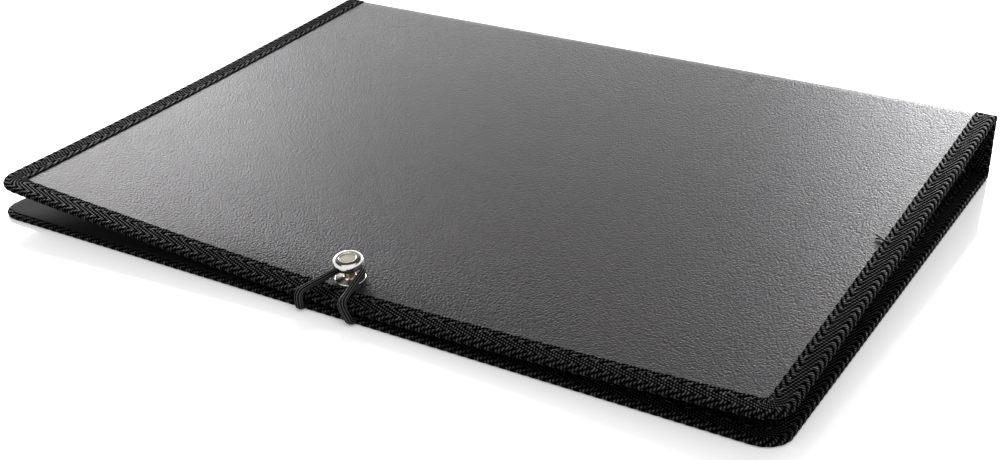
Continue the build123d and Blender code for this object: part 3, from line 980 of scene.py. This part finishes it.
def set_values(node, values):
    """Sets a node's inputs by name. A value that is a socket is linked."""
    for name, value in values.items():
        if isinstance(value, bpy.types.NodeSocket):
            node.id_data.links.new(value, node.inputs[name])
        else:
            node.inputs[name].default_value = value


def scaled(colour, share):
    """A colour, darker or lighter."""
    return tuple(share * value for value in colour)


def new_node(tree, kind, values=None, **settings):
    """A node with its settings and input values."""
    node = tree.nodes.new(kind)
    for name, value in settings.items():
        setattr(node, name, value)
    set_values(node, values or {})
    return node


def new_group(name, inputs, outputs):
    """A shader node group with its sockets, its input node and its output node."""
    group = bpy.data.node_groups.new(name, "ShaderNodeTree")
    for socket, kind, value in inputs:
        made = group.interface.new_socket(name=socket, in_out="INPUT", socket_type=kind)
        if value is not None:
            made.default_value = value
    for socket in outputs:
        group.interface.new_socket(name=socket, in_out="OUTPUT", socket_type="NodeSocketFloat")
    return group, group.nodes.new("NodeGroupInput"), group.nodes.new("NodeGroupOutput")


def calculate(tree, operation, *values):
    """A math node. Each value is a number or a socket."""
    return new_node(tree, "ShaderNodeMath", dict(enumerate(values)), operation=operation).outputs[0]


def waves(tree, phase):
    """Between 0 and 1: up and down once for each 1 of the phase, with 1 at whole numbers."""
    wave = calculate(tree, "COSINE", calculate(tree, "MULTIPLY", phase, 2 * math.pi))
    return calculate(tree, "MULTIPLY_ADD", wave, 0.5, 0.5)


def swells(tree, phase):
    """Between 0 and 1: one swelling for each 1 of the phase, with 0 at whole numbers."""
    return calculate(tree, "ABSOLUTE", calculate(tree, "SINE", calculate(tree, "MULTIPLY", phase, math.pi)))


def use_group(tree, group, values):
    """A group placed in a material."""
    return new_node(tree, "ShaderNodeGroup", values, node_tree=group)


def grain_group():
    """Fine pebble grain of moulded sheet: a height and a mask of its hollows."""
    found = bpy.data.node_groups.get("pebble grain")
    if found:
        return found
    group, given, out = new_group(
        "pebble grain",
        [("Vector", "NodeSocketVector", None), ("Scale", "NodeSocketFloat", 1250.0)],
        ["Height", "Hollows"])
    at, scale = given.outputs["Vector"], given.outputs["Scale"]
    bend = new_node(group, "ShaderNodeTexNoise", {"Scale": 900.0, "Detail": 2.0, "Vector": at})
    shift = new_node(
        group, "ShaderNodeVectorMath", {0: bend.outputs["Color"], 1: (0.6 * mm, 0.6 * mm, 0.6 * mm), 2: at},
        operation="MULTIPLY_ADD")
    cells = new_node(group, "ShaderNodeTexVoronoi", feature="SMOOTH_F1")
    set_values(cells, {"Randomness": 1.0, "Smoothness": 0.6, "Vector": shift.outputs[0], "Scale": scale})
    fine = new_node(group, "ShaderNodeTexNoise", {
        "Detail": 2.0, "Roughness": 0.55, "Vector": at, "Scale": calculate(group, "MULTIPLY", scale, 1.3)})
    hollows = cells.outputs["Distance"]
    dome = calculate(group, "SUBTRACT", 1.0, hollows)
    height = calculate(group, "MULTIPLY_ADD", fine.outputs[0], 0.7, dome)
    set_values(out, {"Height": height, "Hollows": hollows})
    return group


def weave_group():
    """Herringbone weave, drawn by the distance along and across the tape."""
    found = bpy.data.node_groups.get("herringbone weave")
    if found:
        return found
    weave = bpy.context.scene.folder_weave
    face = bpy.context.scene.folder_shape.tape_face
    width = float(tape_profile(face)[1][-1])
    group, given, out = new_group(
        "herringbone weave", [("Along and across", "NodeSocketVector", None)], ["Height", "Glints"])

    def value(operation, *inputs):
        return calculate(group, operation, *inputs)

    parts = new_node(group, "ShaderNodeSeparateXYZ", {0: given.outputs[0]})
    along, across = parts.outputs[0], parts.outputs[1]
    margin = value("MINIMUM", across, value("SUBTRACT", width, across))
    first, middle, last = weave.rib_slopes
    ran = value("MULTIPLY", margin, (first + last) / 2)
    for change, line in zip((middle - first, last - middle), weave.rib_turns):
        past = value("SUBTRACT", margin, line)
        soft = value("SQRT", value("MULTIPLY_ADD", past, past, weave.turn_softness**2))
        ran = value("MULTIPLY_ADD", soft, change / 2, ran)
    phase = value("DIVIDE", value("SUBTRACT", along, ran), weave.rib_pitch)
    number = value("FLOOR", value("ADD", phase, 0.5))
    floats = value("MULTIPLY_ADD", number, 0.5, value("DIVIDE", along, weave.float_length))
    height = value("MULTIPLY", waves(group, phase), value("POWER", swells(group, floats), 1.8))
    cell = new_node(group, "ShaderNodeCombineXYZ", {0: number, 1: value("FLOOR", floats)})
    chance = new_node(group, "ShaderNodeTexWhiteNoise", {"Vector": cell.outputs[0]}, noise_dimensions="3D")
    chosen = value("MULTIPLY_ADD", value("POWER", chance.outputs["Value"], 3.0), 0.4, 0.6)
    glints = value("MULTIPLY", chosen, value("POWER", height, 1.6))
    set_values(out, {"Height": height, "Glints": glints})
    return group


def scuff_group():
    """Handling marks: a broad cloud of duller places and fine scuffs."""
    found = bpy.data.node_groups.get("scuffs")
    if found:
        return found
    group, given, out = new_group("scuffs", [("Vector", "NodeSocketVector", None)], ["Dull"])
    at = given.outputs["Vector"]
    broad = new_node(group, "ShaderNodeTexNoise", {"Vector": at, "Scale": 14.0, "Detail": 4.0})
    fine = new_node(
        group, "ShaderNodeTexNoise", {"Vector": at, "Scale": 160.0, "Detail": 5.0, "Distortion": 0.6})
    set_values(out, {"Dull": calculate(group, "MULTIPLY", broad.outputs[0], fine.outputs[0])})
    return group


def colour_ramp(tree, factor, first, second):
    """A colour that goes from first to second with the factor."""
    node = new_node(tree, "ShaderNodeValToRGB", {0: factor})
    node.color_ramp.elements[0].color = (*first, 1)
    node.color_ramp.elements[1].color = (*second, 1)
    return node.outputs[0]


def between(tree, factor, low, high):
    """A value that goes from low to high with the factor."""
    return calculate(tree, "MULTIPLY_ADD", factor, high - low, low)


def bump(tree, height, distance, strength=1.0):
    """The normal of a surface that has this height on it."""
    values = {"Strength": strength, "Distance": distance, "Height": height}
    return new_node(tree, "ShaderNodeBump", values).outputs[0]


def object_coordinates(tree):
    """Places in metres, as the piece lies at rest."""
    return new_node(tree, "ShaderNodeTexCoord").outputs["Object"]


def pattern_coordinates(tree):
    """The map that a piece's mesh was given, in metres: along and across its pattern."""
    return new_node(tree, "ShaderNodeUVMap", uv_map="pattern").outputs[0]


def mottle(tree, scale, detail, distortion=0.0):
    """Noise over the piece, of so many spots in a metre."""
    values = {"Vector": object_coordinates(tree), "Scale": scale, "Detail": detail}
    return new_node(tree, "ShaderNodeTexNoise", {**values, "Distortion": distortion}).outputs[0]


def finish(name, build):
    """The material of that name, made the first time it is asked for."""
    found = bpy.data.materials.get(name)
    if found:
        return found
    material = bpy.data.materials.new(name)
    material.use_nodes = True
    tree = material.node_tree
    set_values(tree.nodes["Principled BSDF"], build(tree, bpy.context.scene.folder_colours))
    return material


def sheet_finish():
    """Black moulded sheet with a fine pebble grain and a broad soft sheen."""
    def build(tree, colours):
        at = object_coordinates(tree)
        grain = use_group(tree, grain_group(), {"Vector": at, "Scale": 1250.0})
        dull = use_group(tree, scuff_group(), {"Vector": at}).outputs["Dull"]
        hollows, darker = grain.outputs["Hollows"], scaled(colours.sheet, 0.6)
        return {
            "Base Color": colour_ramp(tree, hollows, colours.sheet, darker),
            "Roughness": between(tree, dull, 0.27, 0.42),
            "Specular Tint": (1.0, 0.94, 0.99, 1.0), "Specular IOR Level": 0.46,
            "Normal": bump(tree, grain.outputs["Height"], 0.13 * mm)}
    return finish("grained_sheet", build)


def tape_finish():
    """Black woven tape with glints on its raised yarns: painted highlight in the yarns' colour, painted
    shade between them, and a coat.
    """
    def build(tree, colours):
        weave = use_group(tree, weave_group(), {"Along and across": pattern_coordinates(tree)})
        glints = weave.outputs["Glints"]
        return {
            # Base colour goes from painted shade in the gaps to painted highlight on the yarns, by the
            # glints mask.
            "Base Color": colour_ramp(tree, glints, colours.tape_gap, colours.tape_yarn),
            "Roughness": between(tree, glints, 0.9, 0.5),
            "Specular IOR Level": 0.0, "Coat Weight": glints, "Coat Roughness": 0.32,
            "Normal": bump(tree, weave.outputs["Height"], 0.3 * mm)}
    return finish("woven_tape", build)


def thread_finish():
    """Black sewing thread with a twist."""
    def build(tree, colours):
        values = {"Vector": object_coordinates(tree), "Scale": 700.0, "Distortion": 1.5}
        twist = new_node(tree, "ShaderNodeTexWave", values).outputs["Fac"]
        return {
            "Base Color": colour_ramp(tree, twist, scaled(colours.thread, 0.4), colours.thread),
            "Roughness": between(tree, twist, 0.5, 0.3),
            "Normal": bump(tree, twist, 0.05 * mm, 0.6)}
    return finish("sewing_thread", build)


def pocket_finish():
    """Thin smooth sheet with a faint orange-peel surface."""
    def build(tree, colours):
        dull = use_group(tree, scuff_group(), {"Vector": object_coordinates(tree)}).outputs["Dull"]
        return {
            "Base Color": colour_ramp(tree, dull, colours.pocket, scaled(colours.pocket, 1.5)),
            "Roughness": between(tree, dull, 0.55, 0.75), "Specular IOR Level": 0.08,
            "Normal": bump(tree, mottle(tree, 260.0, 3.0), 0.05 * mm, 0.4)}
    return finish("pocket_film", build)


def music_cord_finish():
    """Black elastic cord: a fine braid of covered yarns."""
    def build(tree, colours):
        pitch = 0.5 * mm
        parts = new_node(tree, "ShaderNodeSeparateXYZ", {0: pattern_coordinates(tree)})
        sines = []
        for operation in ("ADD", "SUBTRACT"):
            way = calculate(tree, operation, parts.outputs[0], parts.outputs[1])
            sines.append(calculate(tree, "SINE", calculate(tree, "MULTIPLY", way, 2 * math.pi / pitch)))
        height = calculate(tree, "MULTIPLY_ADD", calculate(tree, "MULTIPLY", *sines), 0.5, 0.5)
        darker, lighter = scaled(colours.elastic, 0.35), scaled(colours.elastic, 1.6)
        return {
            "Base Color": colour_ramp(tree, height, darker, lighter),
            "Roughness": between(tree, height, 0.57, 0.42),
            "Normal": bump(tree, height, 0.08 * mm, 0.8)}
    return finish("music_cord_braid", build)


def elastic_finish():
    """Black elastic cord: covered rubber strands that stand out as ribs, with fine picks across. The ribs'
    crests are painted lighter as highlight and the grooves darker as shade.
    """
    def build(tree, colours):
        radius = bpy.context.scene.folder_shape.elastic_radius
        rib_pitch, pick_pitch = 2 * math.pi * 0.9 * radius / elastic_ribs, 0.6 * mm
        parts = new_node(tree, "ShaderNodeSeparateXYZ", {0: pattern_coordinates(tree)})
        along, round_at = parts.outputs[0], calculate(tree, "DIVIDE", parts.outputs[1], rib_pitch)
        crest = calculate(tree, "POWER", waves(tree, round_at), 1.5)
        number = calculate(tree, "FLOOR", calculate(tree, "ADD", round_at, 0.5))
        picks = calculate(tree, "MULTIPLY_ADD", number, 0.5, calculate(tree, "DIVIDE", along, pick_pitch))
        pick = calculate(tree, "MULTIPLY_ADD", swells(tree, picks), 0.35, 0.65)
        height = calculate(tree, "MULTIPLY", crest, pick)
        # Lighter crests are painted highlight; darker grooves are painted shade.
        darker, lighter = scaled(colours.elastic, 0.1), scaled(colours.elastic, 3.0)
        return {
            "Base Color": colour_ramp(tree, height, darker, lighter),
            "Roughness": between(tree, height, 0.85, 0.35), "Specular IOR Level": 0.05,
            "Coat Weight": calculate(tree, "MULTIPLY", height, height), "Coat Roughness": 0.35,
            "Normal": bump(tree, height, 0.22 * mm)}
    return finish("elastic_braid", build)


def bar_finish():
    """Black moulded plastic of the cord bars, with a fine even texture."""
    def build(tree, colours):
        spots = mottle(tree, 1500.0, 4.0)
        return {
            "Base Color": colour_ramp(tree, spots, colours.bar, scaled(colours.bar, 1.5)),
            "Roughness": between(tree, spots, 0.35, 0.50),
            "Normal": bump(tree, spots, 0.04 * mm, 0.5)}
    return finish("moulded_bar", build)


# For each metal: its colour's setting and the share of it, its roughness, and how far marks dull it
metals = {
    "polished_nickel": ("nickel", 1.0, 0.06, 0.08),
    # The flange face's nickel, at a share of 0.12, is painted shade under the stud's cap.
    "dull_nickel": ("nickel", 0.12, 0.25, 0.15),
    "turned_neck": ("neck", 1.0, 0.14, 0.12),
    "brushed_disc": ("disc", 1.0, 0.30, 0.25),
    "plated_steel": ("steel", 1.0, 0.22, 0.20),
}


def metal_finish(name):
    """One of the metals, with fine marks."""
    setting, share, rough, brushed = metals[name]

    def build(tree, colours):
        colour = scaled(getattr(colours, setting), share)
        marks = mottle(tree, 1400.0, 5.0, 0.4)
        return {
            "Base Color": colour_ramp(tree, marks, scaled(colour, 0.86), colour),
            "Roughness": between(tree, marks, rough, rough + brushed), "Metallic": 1.0,
            "Normal": bump(tree, marks, 0.01 * mm, 0.3 * brushed)}
    return finish(name, build)


# Stage

def make_world():
    """White where it shows. Mirrors see it darken overhead, as a studio does above its backdrop."""
    stage = bpy.context.scene.folder_stage
    world = bpy.data.worlds.new("studio")
    bpy.context.scene.world = world
    world.use_nodes = True
    tree = world.node_tree
    tree.nodes.clear()
    way = new_node(tree, "ShaderNodeTexCoord").outputs["Generated"]
    upward = new_node(tree, "ShaderNodeSeparateXYZ", {0: way}).outputs[2]
    fade = new_node(tree, "ShaderNodeMapRange", {
        "Value": upward, "To Min": 1.0, "To Max": stage.ceiling,
        "From Min": math.sin(stage.backdrop_top), "From Max": math.sin(stage.ceiling_from),
    }, interpolation_type="SMOOTHSTEP")
    rays = new_node(tree, "ShaderNodeLightPath")
    mirrored = calculate(tree, "SUBTRACT", fade.outputs[0], stage.ambient)
    light = calculate(tree, "MULTIPLY_ADD", rays.outputs["Is Glossy Ray"], mirrored, stage.ambient)
    seen = calculate(tree, "MAXIMUM", rays.outputs["Is Camera Ray"], rays.outputs["Is Transmission Ray"])
    strength = calculate(tree, "MAXIMUM", light, seen)
    background = new_node(tree, "ShaderNodeBackground", {"Color": (1, 1, 1, 1), "Strength": strength})
    new_node(tree, "ShaderNodeOutputWorld", {0: background.outputs[0]})


def make_floor():
    """A wide, slightly glossy white floor."""
    stage = bpy.context.scene.folder_stage
    places = even_steps(-4.0, 4.0, 0.5)
    x, y = np.meshgrid(places, places, indexing="ij")
    points = np.stack([x, y, np.full(x.shape, -0.02 * mm)], axis=-1)
    faces = grid_faces(len(places), len(places))[:, ::-1]

    def build(tree, colours):
        spots = mottle(tree, 6.0, 2.0)
        rays = new_node(tree, "ShaderNodeLightPath")
        return {
            "Base Color": colour_ramp(tree, spots, scaled(stage.floor, 0.99), stage.floor),
            "Roughness": between(tree, spots, 0.10, 0.16), "Emission Color": (1, 1, 1, 1),
            "Emission Strength": calculate(
                tree, "MULTIPLY", rays.outputs["Is Camera Ray"], stage.floor_glow)}

    new_piece("floor", points.reshape(-1, 3), faces, finish("white_table", build))


def make_lamp(name, azimuth, elevation, distance, size, radiance):
    """A soft panel that faces the folder, as bright as radiance."""
    turn, tilt = math.radians(azimuth), math.radians(elevation)
    way = Vector((math.sin(turn) * math.cos(tilt), math.cos(turn) * math.cos(tilt), math.sin(tilt)))
    data = bpy.data.lights.new(name, "AREA")
    data.shape = "RECTANGLE"
    data.size, data.size_y = size
    data.energy = radiance * math.pi * size[0] * size[1]
    lamp = bpy.data.objects.new(name, data)
    bpy.context.scene.collection.objects.link(lamp)
    lamp.location = way * distance
    lamp.rotation_mode = "QUATERNION"
    lamp.rotation_quaternion = way.to_track_quat("Z", "Y")


def make_lamps():
    """Three panels behind the folder, whose sheen falls on its two ends, and one above the camera."""
    make_lamp("back_head_panel", 4.0, 18.5, 1.5, (0.70, 0.36), 16.5)
    make_lamp("back_tail_panel", -63.0, 21.5, 1.5, (0.90, 0.47), 6.9)
    make_lamp("back_low_panel", -26.0, 11.0, 1.5, (0.80, 0.20), 4.0)
    make_lamp("top_panel", 150.0, 60.0, 1.6, (2.2, 1.5), 0.9)


def make_camera():
    """The camera at the photograph's place and angle."""
    stage = bpy.context.scene.folder_stage
    data = bpy.data.cameras.new("camera")
    data.lens = stage.lens
    data.sensor_width = 36.0
    data.clip_start, data.clip_end = 0.01, 20.0
    camera = bpy.data.objects.new("camera", data)
    bpy.context.scene.collection.objects.link(camera)
    camera.location = stage.camera_place
    camera.rotation_euler = (math.pi / 2 - stage.camera_pitch, 0.0, stage.camera_yaw)
    bpy.context.scene.camera = camera


# Operators

class FOLDER_OT_cover_sheets(bpy.types.Operator):
    """Makes the sheets of the two covers and the spine"""

    bl_idname = "folder.cover_sheets"
    bl_label = "Cover sheets"

    def execute(self, context):
        make_cover_sheet("front")
        make_cover_sheet("back")
        make_spine_sheet()
        return {"FINISHED"}


class FOLDER_OT_creases(bpy.types.Operator):
    """Makes the two rounded creases between the sheets"""

    bl_idname = "folder.creases"
    bl_label = "Creases"

    def execute(self, context):
        make_crease("front")
        make_crease("back")
        return {"FINISHED"}


class FOLDER_OT_binding_tape(bpy.types.Operator):
    """Makes the woven tape round the covers and the ends of the spine"""

    bl_idname = "folder.binding_tape"
    bl_label = "Binding tape"

    def execute(self, context):
        for side in ("front", "back"):
            make_cover_tape(side)
        for part, end in (("head", 1), ("tail", -1)):
            make_spine_tape(part, end)
            make_tape_fold("front", part, end)
            make_tape_fold("back", part, end)
        return {"FINISHED"}


class FOLDER_OT_stitches(bpy.types.Operator):
    """Sews the tape and leaves two loose ends of thread"""

    bl_idname = "folder.stitches"
    bl_label = "Stitches"

    def execute(self, context):
        make_stitches("front")
        make_stitches("back")
        make_loose_threads()
        return {"FINISHED"}


class FOLDER_OT_pockets(bpy.types.Operator):
    """Makes the two pockets inside the covers"""

    bl_idname = "folder.pockets"
    bl_label = "Pockets"

    def execute(self, context):
        make_pocket("front")
        make_pocket("back")
        return {"FINISHED"}


class FOLDER_OT_music_cords(bpy.types.Operator):
    """Makes the music cords, and finishes their bars and rivets"""

    bl_idname = "folder.music_cords"
    bl_label = "Music cords and bars"

    def execute(self, context):
        for number in range(1, 7):
            make_music_cord(number)
        dress("head_cord_bar", bar_finish())
        dress("tail_cord_bar", bar_finish())
        make_rivets()
        return {"FINISHED"}


class FOLDER_OT_stud(bpy.types.Operator):
    """Makes the closure stud"""

    bl_idname = "folder.stud"
    bl_label = "Stud"

    def execute(self, context):
        make_stud_base()
        make_stud_cap()
        dress("stud_washer", metal_finish("plated_steel"))
        dress("stud_screw", metal_finish("plated_steel"))
        return {"FINISHED"}


class FOLDER_OT_elastic(bpy.types.Operator):
    """Makes the closure elastic"""

    bl_idname = "folder.elastic"
    bl_label = "Closure elastic"

    def execute(self, context):
        make_elastic()
        return {"FINISHED"}


class FOLDER_OT_stage(bpy.types.Operator):
    """Sets the floor, the light and the camera"""

    bl_idname = "folder.stage"
    bl_label = "Stage"

    def execute(self, context):
        make_world()
        make_floor()
        make_lamps()
        make_camera()
        context.scene.view_settings.view_transform = "Standard"
        return {"FINISHED"}


class FOLDER_PT_panel(bpy.types.Panel):
    """Lists the folder's settings and the steps that make it"""

    bl_idname = "FOLDER_PT_panel"
    bl_label = "Choir folder"
    bl_space_type = "VIEW_3D"
    bl_region_type = "UI"
    bl_category = "Choir folder"

    def draw(self, context):
        for step in steps:
            self.layout.operator(step.bl_idname)
        for name in settings:
            box = self.layout.box()
            group = getattr(context.scene, name)
            for key in group.__annotations__:
                box.prop(group, key)


steps = (
    FOLDER_OT_cover_sheets, FOLDER_OT_creases, FOLDER_OT_binding_tape, FOLDER_OT_stitches,
    FOLDER_OT_pockets, FOLDER_OT_music_cords, FOLDER_OT_stud, FOLDER_OT_elastic, FOLDER_OT_stage,
)
settings = {
    "folder_shape": FolderShape, "folder_weave": FolderWeave,
    "folder_colours": FolderColours, "folder_stage": FolderStage,
}


def register():
    for name, group in settings.items():
        bpy.utils.register_class(group)
        setattr(bpy.types.Scene, name, PointerProperty(type=group))
    for step in (*steps, FOLDER_PT_panel):
        bpy.utils.register_class(step)


def unregister():
    for step in (FOLDER_PT_panel, *reversed(steps)):
        bpy.utils.unregister_class(step)
    for name, group in settings.items():
        delattr(bpy.types.Scene, name)
        bpy.utils.unregister_class(group)


def main():
    register()
    for step in steps:
        prefix, name = step.bl_idname.split(".")
        getattr(getattr(bpy.ops, prefix), name)()


if __name__ == "__main__":
    main()
